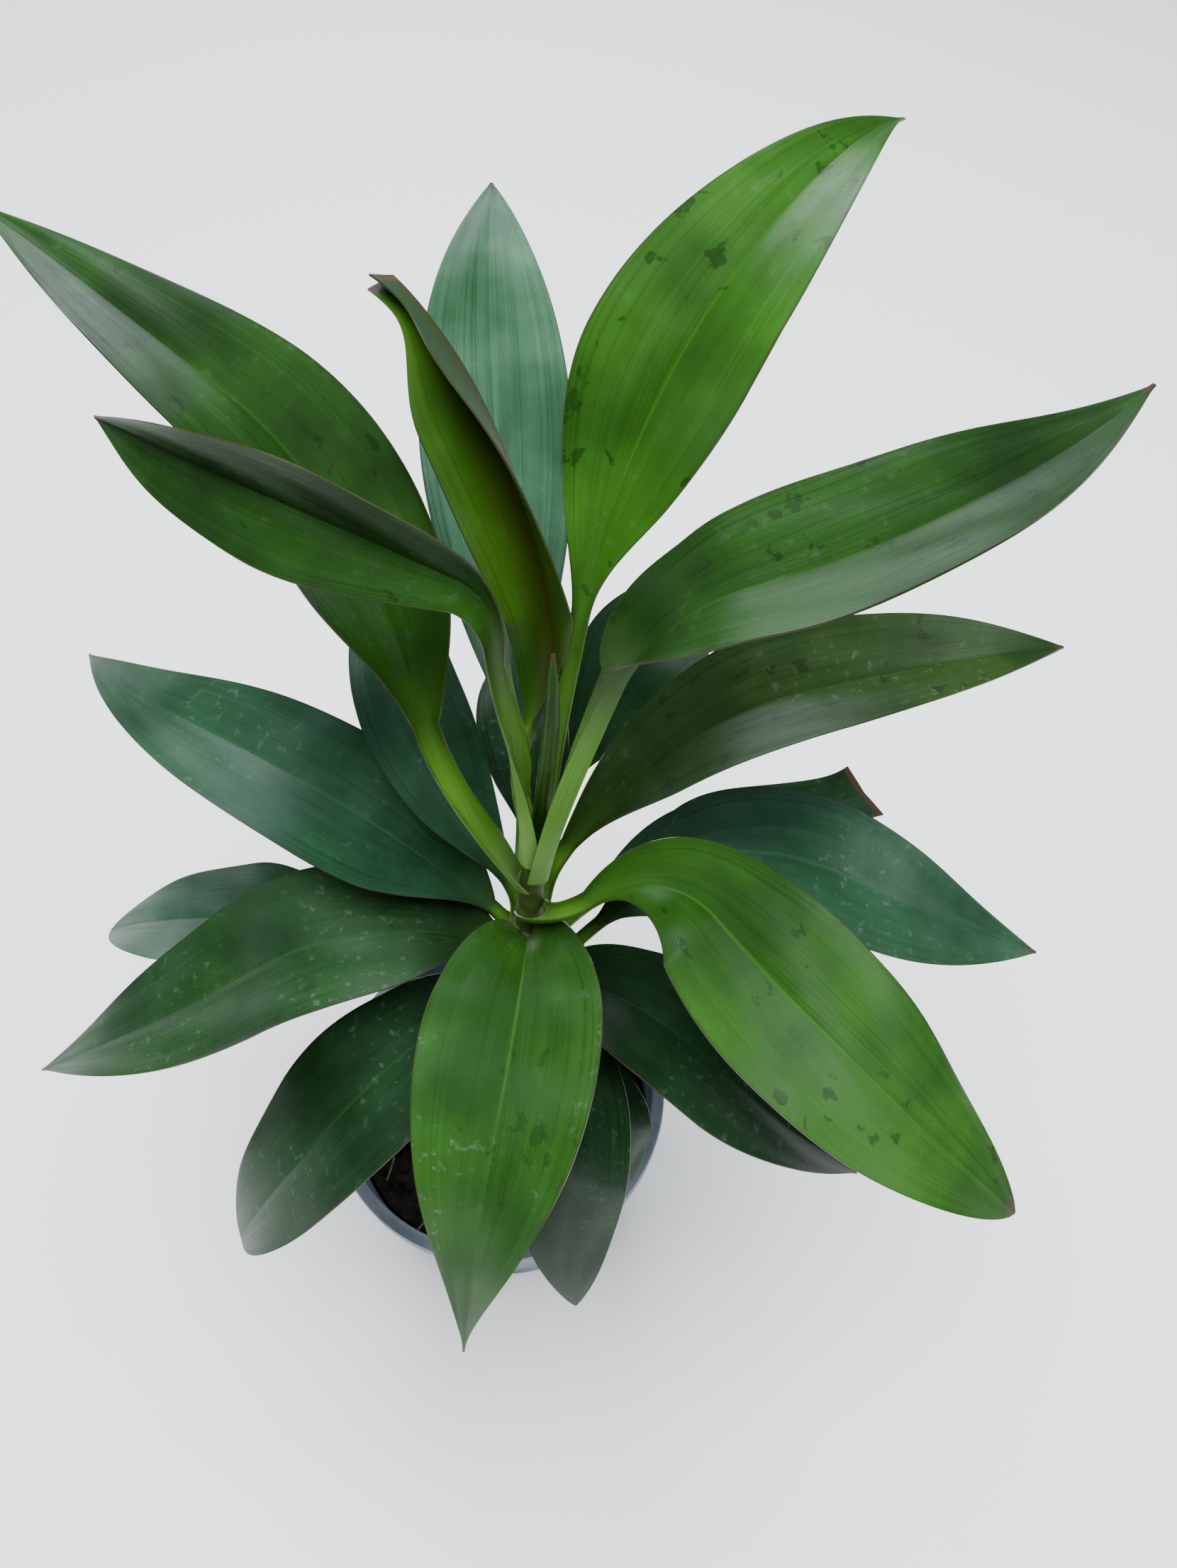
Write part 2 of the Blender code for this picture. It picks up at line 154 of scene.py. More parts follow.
LEAVES = {
    "tall_right": leaf(node=306, petiole=75, blade=166, width=44, rise=(76, 65, 34, -20),
                       heading=(55, 65, 46, 55), fold=(19, 18), roll=(0, 6), belly=0.4, tip=1.27, base=1.7,
                       wrap=44, tone="fresh", phase=0.1),
    "back": leaf(node=279, petiole=45, blade=186, width=43, rise=(68, 51, 33, -5), heading=(95, 96, 94, 91),
                 fold=(16, 6), belly=0.5, tip=0.96, tone="pale", phase=0.4),
    "young_folded": leaf(node=311, petiole=40, blade=128, width=38, rise=(90, 51, 60, 8),
                         heading=(124, 46, 110, 130), fold=(42, 77), roll=(-18, -79), belly=0.64, tip=1.9,
                         base=0.82, bend=0.25, end=8, wrap=46, tone="young", wave=0.4),
    "tall_left": leaf(node=288, petiole=69, blade=197, width=43, rise=(75, 54, 20, 0),
                      heading=(195, 108, 146, 137), fold=(20, 15), roll=(4, 4), belly=0.4, tip=1.23,
                      base=0.8, neck=6.5, wrap=68, tone="green", phase=0.7),
    "young_left": leaf(node=303, petiole=99, blade=132, width=31, rise=(87, 91, 5, -10),
                       heading=(250, 114, 154, 141), fold=(36, 42), roll=(-50, -73), belly=0.52, tip=0.97,
                       bend=0.15, neck=5, wrap=50, tone="green", phase=0.2),
    "high_right": leaf(node=294, petiole=103, blade=136, width=40, rise=(80, 75, 17, 9),
                       heading=(-40, 4, 7, 41), fold=(17, 20), roll=(-3, -9), tip=1.08, base=0.8, bend=0.3,
                       neck=6.2, wrap=68, tone="green", phase=0.5),
    "mid_right": leaf(node=266, petiole=26, blade=180, width=41, rise=(68, 43, 2, -16),
                      heading=(52, 37, 14, 20), fold=(26, 28), roll=(11, 4), belly=0.5, tip=0.92, base=0.95,
                      neck=5, tone="dull", phase=0.3),
    "inner_right": leaf(node=229, petiole=68, blade=102, width=40, rise=(65, 43, 7, -14),
                        heading=(80, 54, 61, 47)),
    "low_right": leaf(node=242, petiole=30, blade=165, width=47, rise=(58, 33, -24, -31),
                      heading=(18, 23, -16, 2), fold=(14, 6), roll=(0, 7), belly=0.47, tip=0.98, base=0.87,
                      tone="waxy", phase=0.6),
    "blunt_right": leaf(node=206, petiole=35, blade=110, width=42, rise=(60, 23, 3, -4),
                        heading=(33, 32, 24, 26), end=12),
    "front_right": leaf(node=273, petiole=34, blade=169, width=54, rise=(62, 37, -20, -40),
                        heading=(-72, 20, -45, -25), fold=(9, 5), roll=(4, 1), belly=0.45, tip=0.7,
                        base=1.04, bend=0.23, neck=5.2, wrap=80, tone="fresh", wave=1.2, phase=0.8),
    "low_front_right": leaf(node=225, petiole=14, blade=139, width=43, rise=(60, 53, -32, -50),
                            heading=(-30, -37, -34, -7), fold=(19, 13), roll=(-2, -7), belly=0.43, tip=1.09,
                            base=0.8),
    "front": leaf(node=262, petiole=9, blade=148, width=50, rise=(67, 51, -34, -70),
                  heading=(268, 272, 257, 255), fold=(14, 12), roll=(3, 5), belly=0.36, tip=1.52, base=0.61,
                  wrap=80, tone="fresh_old", phase=0.35),
    "low_front": leaf(node=200, petiole=20, blade=132, width=38, rise=(60, 63, -59, -72),
                      heading=(284, 299, 267, 282), fold=(18, 9), belly=0.37, tip=0.78, base=0.88),
    "low_front_left": leaf(node=230, petiole=15, blade=141, width=45, rise=(58, 23, -39, -66),
                           heading=(225, 227, 216, 198), fold=(12, 9), roll=(3, -6), belly=0.4, tip=0.5,
                           base=0.69, phase=0.9),
    "low_left": leaf(node=244, petiole=8, blade=184, width=48, rise=(52, 44, -22, -45),
                     heading=(192, 184, 201, 172), fold=(19, 8), roll=(4, -5), belly=0.36, tip=1.15,
                     base=0.71, bend=0.45, tone="mid", phase=0.15),
    "lowest_left": leaf(node=214, petiole=42, blade=137, width=42, rise=(55, 13, -24, -41),
                        heading=(170, 173, 165, 167), fold=(17, 9), roll=(2, 5), tip=0.62, tone="waxy"),
    "mid_left": leaf(node=250, petiole=15, blade=195, width=46, rise=(58, 49, -2, -30),
                     heading=(154, 160, 150, 128), fold=(16, 10), roll=(-2, 3), belly=0.31, tip=1.14,
                     base=0.89, tone="waxy", phase=0.55),
    "inner_left": leaf(node=258, petiole=16, blade=148, width=33, rise=(64, 55, 8, -18),
                       heading=(121, 140, 106, 92), fold=(19, 11), roll=(-2, -5), belly=0.42, tip=1.1,
                       base=1.03, tone="waxy"),
    "small_front": leaf(node=190, petiole=20, blade=79, width=26, rise=(60, 24, -65, -79),
                        heading=(308, 316, 289, 289)),
    "low_back": leaf(node=219, petiole=42, blade=110, width=40, rise=(60, 25, -5, -30),
                     heading=(85, 88, 95, 96)),
}

# The rolled young leaf at the heart of the plant, foot to tip, with its radius there
SPEAR_POINTS = (
    (22.8, 4.6, 314), (25.2, 5.8, 330), (27, 8.5, 345), (28.3, 12, 358), (29, 15, 369), (29.3, 18, 378))
SPEAR_RADII = (1.9, 2.3, 2.5, 2.2, 1.5, 0.4)
SPEAR_ROWS = 70
SPEAR_COLUMNS = 48
SPEAR_TURNS = 1.4
SPEAR_TWIST = 1.8
SPEAR_START = 3.0
SPEAR_HOLLOW = 0.62
SPEAR_SHEET = 0.35 * MM

# Leaf finishes: shaded and lit green of the upper face, the underside, how strong the wet spots, the dust,
# the waxy bloom with its painted blue sheen, the vein lines and the sheen are, and the record's slot
LEAF_TONES = {
    "fresh": dict(deep=(0.009, 0.042, 0.003), lit=(0.022, 0.086, 0.006),
                  under=(0.026, 0.060, 0.012), slot="leaf",
                  wet=1.0, dust=0.15, bloom_and_sheen=0.0, lines=0.22, shine=0.35),
    "fresh_old": dict(deep=(0.008, 0.038, 0.003), lit=(0.020, 0.074, 0.008),
                      under=(0.024, 0.055, 0.012), slot="leaf",
                      wet=0.6, dust=0.8, bloom_and_sheen=0.2, lines=0.22, shine=0.35),
    "green": dict(deep=(0.004, 0.017, 0.002), lit=(0.009, 0.040, 0.003),
                  under=(0.018, 0.045, 0.010), slot="leaf",
                  wet=0.8, dust=0.15, bloom_and_sheen=0.0, lines=0.22, shine=0.3),
    "mid": dict(deep=(0.004, 0.020, 0.004), lit=(0.012, 0.042, 0.009),
                under=(0.020, 0.045, 0.012), slot="leaf",
                wet=0.6, dust=0.6, bloom_and_sheen=0.3, lines=0.22, shine=0.3),
    "old": dict(deep=(0.003, 0.014, 0.003), lit=(0.009, 0.033, 0.011),
                under=(0.014, 0.032, 0.012), slot="old_leaf",
                wet=0.3, dust=0.6, bloom_and_sheen=0.12, lines=0.22, shine=0.18),
    "waxy": dict(deep=(0.005, 0.027, 0.010), lit=(0.014, 0.052, 0.022),
                 under=(0.014, 0.035, 0.014), slot="old_leaf",
                 wet=0.3, dust=0.6, bloom_and_sheen=0.7, lines=0.26, shine=0.25),
    # The back leaf's pale bluish greens are partly painted sheen: its glossy reflection is laid into the
    # colour
    "pale": dict(deep=(0.012, 0.046, 0.018), lit=(0.040, 0.106, 0.058),
                 under=(0.020, 0.050, 0.022), slot="old_leaf",
                 wet=0.2, dust=0.4, bloom_and_sheen=0.8, lines=0.45, shine=0.3),
    "dull": dict(deep=(0.007, 0.022, 0.003), lit=(0.017, 0.041, 0.008),
                 under=(0.016, 0.034, 0.010), slot="old_leaf",
                 wet=0.8, dust=0.5, bloom_and_sheen=0.15, lines=0.22, shine=0.3),
    "young": dict(deep=(0.010, 0.038, 0.003), lit=(0.022, 0.062, 0.004),
                  under=(0.010, 0.032, 0.009), slot="young_leaf",
                  wet=0.0, dust=0.1, bloom_and_sheen=0.0, lines=0.22, shine=0.25),
}
# Stalk and sheath greens: their own pale green, lightened further as painted light to offset the shade
# among the stalks
LIGHTENED_STALK_GREEN = (0.130, 0.340, 0.030, 1)
LIGHTENED_SHEATH_PALE = (0.30, 0.52, 0.15, 1)
# Painted shade: dark brown laid along the rib of the young leaves, inside their fold
YOUNG_FOLD_SHADE = (0.024, 0.017, 0.003, 1)
MARGIN_BROWN = (0.026, 0.022, 0.010, 1)
TIP_BROWN = (0.045, 0.026, 0.014, 1)
DUST_WHITE = (0.17, 0.20, 0.18, 1)
# Blue of the waxy bloom, partly painted sheen: it stands in for some of the pale blue reflection on the
# leaves
BLOOM_AND_SHEEN_BLUE = (0.045, 0.102, 0.074, 1)

# Leaf patterns, laid out in tenths of a metre along and across the leaf
PATTERN_UNIT = 10
LEAF_SHIFT = 3.7
HALF_SHIFT = 3.7
VEIN_SLANT = 0.22
FINE_VEINS = (60, 1.4, 1)
BROAD_VEINS = (10, 0.9, 1)
SPOT_CRUMPLE = 26.0
SPOT_BEND = 0.11
SPOT_CELLS = 17.0
SPOT_SHARE = 0.45
SPOT_RADIUS = (0.14, 0.20)
SPOT_SPREAD = 0.22
SPOT_GROUPS = 3.0
WET_STRENGTH = 0.62
BLOOM_AND_SHEEN_STRENGTH = 0.4
DUST_STRENGTH = 0.30

# Other finishes
POT_SHADE = (0.085, 0.100, 0.130, 1)
POT_LIT = (0.170, 0.195, 0.240, 1)
POT_RUST = (0.040, 0.018, 0.012, 1)
POT_GRIT = (0.13, 0.135, 0.14, 1)
SOIL_SHADE = (0.003, 0.0025, 0.002, 1)
SOIL_LIT = (0.013, 0.009, 0.006, 1)
SOIL_FIBRE = (0.050, 0.030, 0.017, 1)
STRAW_SHADE = (0.06, 0.04, 0.02, 1)
STRAW_LIT = (0.17, 0.12, 0.07, 1)
CANE_OLD = (0.055, 0.038, 0.022, 1)
CANE_YOUNG = (0.060, 0.100, 0.022, 1)
CANE_SHADE = (0.026, 0.024, 0.012, 1)
FLOOR_PALE = (0.90, 0.90, 0.89, 1)

# Studio: each light's name, place, size, watts and colour
LIGHT_TARGET = (0, 0, 0.3)
LIGHTS = (
    ("overhead", (0.0, 0.0, 2.1), (1.6, 1.6), 120, (0.96, 0.98, 1.0)),
    ("window_behind", (-0.24, 1.6, 1.36), (0.9, 1.4), 22, (0.84, 0.94, 1.0)),
    ("window_right", (1.52, -0.16, 1.35), (0.9, 0.7), 10, (0.88, 0.96, 1.0)),
    ("window_low_left", (-1.49, 1.17, 0.57), (0.8, 0.5), 4, (0.86, 0.95, 1.0)),
    ("window_left", (-1.28, -0.18, 1.69), (0.6, 0.45), 3, (0.86, 0.95, 1.0)),
    ("window_front", (-0.4, -1.85, 0.46), (1.2, 0.5), 4, (0.90, 0.97, 1.0)),
)
ROOM_COLOR = (0.88, 0.93, 1.0, 1)
ROOM_STRENGTH = 0.15
FLOOR_SIZE = 8


class Nodes:
    """Adds nodes to a material, each with the sockets it is given."""

    def __init__(self, name):
        self.material = bpy.data.materials.new(name)
        self.material.use_nodes = True
        self.tree = self.material.node_tree
        self.shader = self.tree.nodes["Principled BSDF"]

    def plug(self, socket, value):
        if isinstance(value, bpy.types.NodeSocket):
            self.tree.links.new(value, socket)
        else:
            socket.default_value = value

    def add(self, kind, inputs=None, **settings):
        made = self.tree.nodes.new("ShaderNode" + kind)
        for key, value in settings.items():
            setattr(made, key, value)
        for key, value in (inputs or {}).items():
            self.plug(made.inputs[key], value)
        return made

    def math(self, operation, first, second=0.5):
        return self.add("Math", {0: first, 1: second}, operation=operation).outputs[0]

    def ramp(self, value, low, high, to_low=0.0, to_high=1.0):
        limits = {"Value": value, "From Min": low, "From Max": high, "To Min": to_low, "To Max": to_high}
        made = self.add("MapRange", limits, interpolation_type="SMOOTHSTEP")
        return made.outputs["Result"]

    def mix(self, factor, first, second, blend="MIX"):
        made = self.add("Mix", data_type="RGBA", blend_type=blend)
        self.plug(made.inputs["Factor"], factor)
        self.plug(made.inputs[6], first)
        self.plug(made.inputs[7], second)
        return made.outputs[2]

    def noise(self, vector, scale, detail=3.0, roughness=0.5, distortion=0.0):
        made = self.add("TexNoise", {"Vector": vector, "Scale": scale, "Detail": detail,
                                     "Roughness": roughness, "Distortion": distortion})
        return made.outputs["Fac"]

    def scaled(self, vector, scale):
        return self.add("Mapping", {"Vector": vector, "Scale": scale}).outputs["Vector"]

    def bump(self, height, strength, distance, under=None):
        made = self.add("Bump", {"Height": height, "Strength": strength, "Distance": distance})
        if under is not None:
            self.plug(made.inputs["Normal"], under)
        return made.outputs["Normal"]

    def finish(self, color, roughness, normal=None, **values):
        self.plug(self.shader.inputs["Base Color"], color)
        self.plug(self.shader.inputs["Roughness"], roughness)
        if normal is not None:
            self.plug(self.shader.inputs["Normal"], normal)
        for key, value in values.items():
            self.shader.inputs[key.replace("_", " ")].default_value = value
        return self.material


def rgba(color):
    return (*color, 1)


def wet_spots(nodes, size):
    """Crumpled marks of mixed sizes with crisp rims, in loose groups."""
    crumple = nodes.add("TexNoise", {"Vector": size, "Scale": SPOT_CRUMPLE, "Detail": 3.0}).outputs["Color"]
    crumple = nodes.add("VectorMath", {0: crumple, 1: (0.5, 0.5, 0.5)}, operation="SUBTRACT").outputs[0]
    crumple = nodes.scaled(crumple, (SPOT_BEND, SPOT_BEND, 0))
    crooked = nodes.add("VectorMath", {0: size, 1: crumple}, operation="ADD").outputs[0]
    cells = nodes.add("TexVoronoi", {"Vector": crooked, "Scale": SPOT_CELLS})
    choice = nodes.add("SeparateXYZ", {0: cells.outputs["Color"]})
    few = nodes.math("GREATER_THAN", choice.outputs[0], 1 - SPOT_SHARE)
    reach = nodes.math("MULTIPLY", choice.outputs[1], SPOT_SPREAD)
    inside = nodes.math("SUBTRACT", cells.outputs["Distance"], reach)
    drop = nodes.ramp(inside, *SPOT_RADIUS, 1.0, 0.0)
    group = nodes.ramp(nodes.noise(size, SPOT_GROUPS, 1.0), 0.47, 0.53)
    return nodes.math("MULTIPLY", nodes.math("MULTIPLY", drop, few), group)


def leaf_material(tone, values, upper):
    """A leaf's skin: veins from the rib out to the margins, wet spots, dust, and a waxy bloom partly
    painting a blue sheen.
    """
    side = "upper" if upper else "under"
    nodes = Nodes("leaf_%s_%s" % (tone, side))
    span = nodes.add("UVMap", uv_map="span").outputs[0]
    size = nodes.add("UVMap", uv_map="size").outputs[0]
    parts = nodes.add("SeparateXYZ", {0: span})
    across = nodes.math("ABSOLUTE", nodes.math("SUBTRACT", parts.outputs[0], 0.5))
    across = nodes.math("MULTIPLY", across, 2.0)
    place = parts.outputs[1]
    vein_x = nodes.math("SUBTRACT", across, nodes.math("MULTIPLY", place, VEIN_SLANT))
    which_half = nodes.math("MULTIPLY", nodes.math("GREATER_THAN", parts.outputs[0], 0.5), HALF_SHIFT)
    veins = nodes.add("CombineXYZ", {0: vein_x, 1: place, 2: which_half}).outputs[0]
    fine = nodes.noise(nodes.scaled(veins, FINE_VEINS), 1.0, 3.0, 0.65)
    broad = nodes.noise(nodes.scaled(veins, BROAD_VEINS), 1.0, 2.0, 0.5)
    patch = nodes.noise(size, 2.2, 3.0, 0.55)
    speckle = nodes.noise(size, 30.0, 5.0, 0.65)
    deep, lit = (values["deep"], values["lit"]) if upper else (values["under"], values["under"])
    color = nodes.mix(nodes.ramp(patch, 0.32, 0.68), rgba(deep), rgba(lit))
    streak = nodes.math("ADD", nodes.math("MULTIPLY", fine, 0.6), nodes.math("MULTIPLY", broad, 0.4))
    shade = nodes.ramp(streak, 0.3, 0.7, 1 - values["lines"], 1 + values["lines"])
    tint = nodes.add("CombineXYZ", {0: shade, 1: shade, 2: shade}).outputs[0]
    color = nodes.mix(0.8, color, tint, "MULTIPLY")
    if values["slot"] == "young_leaf":
        # Painted shade in the young leaf's fold: browner near the rib, in patches
        near_rib = nodes.ramp(across, 0.05, 0.65, 0.75, 0.0)
        fold_shade = nodes.math("MULTIPLY", near_rib, nodes.ramp(broad, 0.25, 0.6))
        color = nodes.mix(fold_shade, color, YOUNG_FOLD_SHADE)
    if upper:
        wet = nodes.math("MULTIPLY", wet_spots(nodes, size), WET_STRENGTH * values["wet"])
        color = nodes.mix(wet, color, rgba([0.4 * part for part in values["deep"]]))
        # Waxy bloom and painted sheen: blue patches for the wax, and also for part of the leaves' glossy
        # reflection
        bloom_and_sheen = nodes.math("MULTIPLY", nodes.ramp(nodes.noise(size, 1.7, 4.0, 0.65), 0.35, 0.75),
                           BLOOM_AND_SHEEN_STRENGTH * values["bloom_and_sheen"])
        color = nodes.mix(bloom_and_sheen, color, BLOOM_AND_SHEEN_BLUE)
        dust = nodes.math("MULTIPLY", nodes.ramp(speckle, 0.57, 0.66), nodes.ramp(patch, 0.42, 0.60))
        dust = nodes.math("MULTIPLY", dust, DUST_STRENGTH * values["dust"])
        color = nodes.mix(dust, color, DUST_WHITE)
    rib = nodes.ramp(across, 0.0, 0.045, 1.0, 0.0)
    rib = nodes.math("MULTIPLY", rib, nodes.ramp(place, 0.15, 0.85, 1.0, 0.1))
    color = nodes.mix(nodes.math("MULTIPLY", rib, 0.4), color, rgba([1.8 * part for part in lit]))
    # Stalks and sheaths in painted light: greens lighter than their own, to offset the shade they stand in
    stalk_shade = rgba([0.5 * part for part in LIGHTENED_STALK_GREEN[:3]])
    lightened_stalk_color = nodes.mix(nodes.ramp(fine, 0.3, 0.7), LIGHTENED_STALK_GREEN, stalk_shade)
    lightened_stalk_color = nodes.mix(nodes.ramp(place, -0.95, -0.55, 0.8, 0.0), lightened_stalk_color, LIGHTENED_SHEATH_PALE)
    color = nodes.mix(nodes.ramp(place, -0.35, 0.14, 0.9, 0.0), color, lightened_stalk_color)
    color = nodes.mix(nodes.ramp(across, 0.975, 0.998, 0.0, 0.7), color, MARGIN_BROWN)
    tip = nodes.ramp(nodes.math("ADD", place, nodes.math("MULTIPLY", speckle, 0.03)), 0.984, 1.004)
    color = nodes.mix(tip, color, TIP_BROWN)
    gloss = nodes.ramp(streak, 0.3, 0.7, 0.24, 0.42) if upper else nodes.ramp(streak, 0.3, 0.7, 0.5, 0.62)
    gloss = nodes.math("ADD", gloss, nodes.math("MULTIPLY", nodes.ramp(speckle, 0.5, 0.8), 0.12))
    vein_bump = nodes.bump(streak, 0.55, 0.25 * MM)
    normal = nodes.bump(speckle, 0.10, 0.2 * MM, vein_bump)
    return nodes.finish(color, gloss, normal, IOR=1.45, Specular_IOR_Level=values["shine"])


def stem_centre(height):
    return STEM_FOOT + (STEM_HEAD - STEM_FOOT) * (height - STEM_FOOT.z) / (STEM_HEAD.z - STEM_FOOT.z)


def stem_radius(height):
    return float(np.interp(height / MM, STEM_HEIGHTS, STEM_RADII)) * MM


def smooth(value):
    value = np.clip(value, 0, 1)
    return value * value * (3 - 2 * value)


def directions(slope, heading):
    """Unit vectors along the rib, to its left, and out of the upper face."""
    flat = np.cos(slope)
    tangent = np.stack([flat * np.cos(heading), flat * np.sin(heading), np.sin(slope)], 1)
    side = np.stack([-np.sin(heading), np.cos(heading), 0 * heading], 1)
    return tangent, side, np.cross(tangent, side)


def leaf_course(values, stations):
    """The rib's points at the given distances from the stem, with its slope and heading there."""
    stalk = values["petiole"] * MM
    blade = values["blade"] * MM
    knots = (0, stalk, stalk + values["bend"] * blade, stalk + blade)
    along = np.linspace(0, stalk + blade, COURSE_POINTS)
    slope = np.radians(np.interp(along, knots, values["rise"]))
    heading = np.radians(np.interp(along, knots, values["heading"]))
    tangent = directions(slope, heading)[0]
    height = values["node"] * MM
    away = np.array([math.cos(heading[0]), math.sin(heading[0]), 0])
    reach = stem_radius(height) + SHEATH_CLEARANCE + CAD_STALK_THICKNESS / 2
    start = np.array(stem_centre(height)) + away * reach
    steps = (tangent[1:] + tangent[:-1]) / 2 * (along[1] - along[0])
    points = np.concatenate([[start], start + np.cumsum(steps, 0)])
    rib = np.stack([np.interp(stations, along, points[:, axis]) for axis in range(3)], 1)
    return rib, np.interp(stations, along, slope), np.interp(stations, along, heading)


def half_widths(values, stalk_place, blade_place):
    belly = values["belly"]
    rising = np.sin(np.pi / 2 * np.clip(blade_place / belly, 0, 1)) ** values["base"]
    falling = np.cos(np.pi / 2 * np.clip((blade_place - belly) / (1 - belly), 0, 1)) ** values["tip"]
    neck = values["neck"] * MM
    height = values["node"] * MM
    reach = stem_radius(height) + SHEATH_CLEARANCE + CAD_STALK_THICKNESS / 2
    sheath = reach * math.radians(values["wrap"])
    stalk_half = neck + (sheath - neck) * (1 - smooth(stalk_place / SHEATH_END))
    blade_half = neck * (1 - blade_place) ** 3
    blade_half = blade_half + values["width"] * MM / 2 * np.where(blade_place < belly, rising, falling)
    blade_half = np.hypot(blade_half, values["end"] * MM * blade_place ** 2)
    return np.where(blade_place > 0, blade_half, stalk_half)


def leaf_relief(values, half, across, blade_place):
    """How far the face stands off the plain folded blade: rippled margins, channelled rib, soft pleats."""
    on_blade = np.sin(np.pi * np.clip(blade_place, 0, 1)) ** 0.7
    turn = 2 * np.pi * (values["waves"] * blade_place + values["phase"])
    shift = 0 if across > 0 else RIPPLE_SHIFT
    ripple = values["wave"] * MM * np.abs(across) ** RIPPLE_RISE * np.sin(turn + shift)
    channel = -CHANNEL_DEPTH * np.exp(-(across * half / CHANNEL_WIDTH) ** 2) * (1 - 0.6 * blade_place)
    pleat_turn = 2 * np.pi * (PLEATS * np.abs(across) - PLEAT_SLANT * blade_place)
    pleat = PLEAT_HEIGHT * np.sin(pleat_turn) * np.abs(across)
    dent = DENT_HEIGHT * np.sin(11 * blade_place + 5 * across + 9 * values["phase"])
    dent = dent * np.sin(4 * across + 7 * blade_place)
    return on_blade * (ripple + channel + pleat + dent)


def leaf_points(values):
    """The middle surface of a leaf as rows of points, foot to tip, and where each lies on it."""
    stalk = values["petiole"] * MM
    blade = values["blade"] * MM
    stations = np.concatenate([np.linspace(0, stalk, STALK_ROWS + 1)[:-1],
                               stalk + blade * np.linspace(0, 1, BLADE_ROWS + 1)])
    stalk_place = np.clip(stations / stalk, 0, 1)
    blade_place = np.clip((stations - stalk) / blade, 0, 1)
    on_blade = blade_place > 0
    rib, slope, heading = leaf_course(values, stations)
    side, face = directions(slope, heading)[1:]
    first, last = np.radians(values["roll"])
    roll = np.where(on_blade, first + (last - first) * blade_place, first * smooth(stalk_place))[:, None]
    side, face = side * np.cos(roll) + face * np.sin(roll), face * np.cos(roll) - side * np.sin(roll)
    half = half_widths(values, stalk_place, blade_place)
    wrap = math.radians(values["wrap"])
    into_stalk = smooth(stalk_place / SHEATH_END)
    into_blade = smooth(blade_place / STALK_RUNS_OUT)
    bow = np.where(on_blade, HOLLOW_STALK + (math.radians(values["curl"]) - HOLLOW_STALK) * into_blade,
                   wrap + (HOLLOW_STALK - wrap) * into_stalk)
    bow = np.where(np.abs(bow) < NEARLY_FLAT, NEARLY_FLAT, bow)
    low, high = np.radians(values["fold"])
    fold = np.where(on_blade, STALK_FOLD + (low + (high - low) * blade_place - STALK_FOLD) * into_blade,
                    STALK_FOLD * into_stalk)
    even = np.linspace(-1, 1, LEAF_COLUMNS + 1)
    columns = np.sign(even) * np.abs(even) ** COLUMN_CROWDING
    rows = []
    for across in columns:
        angle = fold + bow * abs(across)
        out = half * (np.sin(angle) - np.sin(fold)) / bow * np.sign(across)
        lift = half * (np.cos(fold) - np.cos(angle)) / bow
        lift = lift + leaf_relief(values, half, across, blade_place)
        rows.append(rib + side * out[:, None] + face * lift[:, None])
    place = np.where(on_blade, blade_place, stalk_place - 1)
    return np.stack(rows, 1), columns, half, place, stations


def set_uv(mesh, name, per_vertex):
    layer = mesh.uv_layers.new(name=name)
    corner = np.empty(len(mesh.loops), dtype=np.int32)
    mesh.loops.foreach_get("vertex_index", corner)
    layer.data.foreach_set("uv", per_vertex[corner].astype(np.float32).ravel())


def make_leaf(name, values, skins):
    """One leaf: a grid laid on its rows of points, then given a thickness, most along the rib and stalk."""
    points, columns, half, place, stations = leaf_points(values)
    count, width = points.shape[:2]
    bpy.ops.mesh.primitive_grid_add(x_subdivisions=width - 1, y_subdivisions=count - 1, size=1)
    piece = bpy.context.object
    piece.name = "blade_" + name
    mesh = piece.data
    while mesh.uv_layers:
        mesh.uv_layers.remove(mesh.uv_layers[0])
    flat = points[:, ::-1].reshape(-1, 3)
    mesh.vertices.foreach_set("co", flat.astype(np.float32).ravel())
    reach = np.broadcast_to(columns[None, ::-1], (count, width)).ravel()
    rows_place = np.repeat(place, width)
    set_uv(mesh, "span", np.stack([reach / 2 + 0.5, rows_place], 1))
    size = np.stack([reach * np.repeat(half, width), np.repeat(stations, width)], 1)
    set_uv(mesh, "size", size * PATTERN_UNIT + LEAF_SHIFT * (values["phase"] + values["node"]))
    thick = piece.vertex_groups.new(name="thickness")
    for row in range(count):
        blade_place = max(place[row], 0)
        middle = RIB_THICKNESS + (BLADE_THICKNESS - RIB_THICKNESS) * blade_place
        if place[row] < 0:
            middle = middle - place[row] * (STALK_THICKNESS - middle)
        for column in range(width):
            from_rib = abs(columns[column]) * half[row]
            depth = BLADE_THICKNESS + (middle - BLADE_THICKNESS) * math.exp(-(from_rib / RIB_SPREAD) ** 2)
            thick.add([row * width + column], depth / STALK_THICKNESS, "REPLACE")
    solid = piece.modifiers.new("thickness", "SOLIDIFY")
    solid.thickness = STALK_THICKNESS
    solid.offset = 0
    solid.vertex_group = thick.name
    solid.material_offset = 1
    solid.material_offset_rim = 0
    for skin in skins:
        mesh.materials.append(skin)
    bpy.ops.object.modifier_apply(modifier=solid.name)
    bpy.ops.object.shade_smooth_by_angle(angle=LEAF_SMOOTHING)
    return piece


def make_leaves():
    skins = {}
    for tone, values in LEAF_TONES.items():
        skins[tone] = [leaf_material(tone, values, True), leaf_material(tone, values, False)]
    for name, values in LEAVES.items():
        piece = make_leaf(name, values, skins[values["tone"]])
        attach(piece, "root")
        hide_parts("leaf_" + name)
        piece.select_set(False)
    return skins


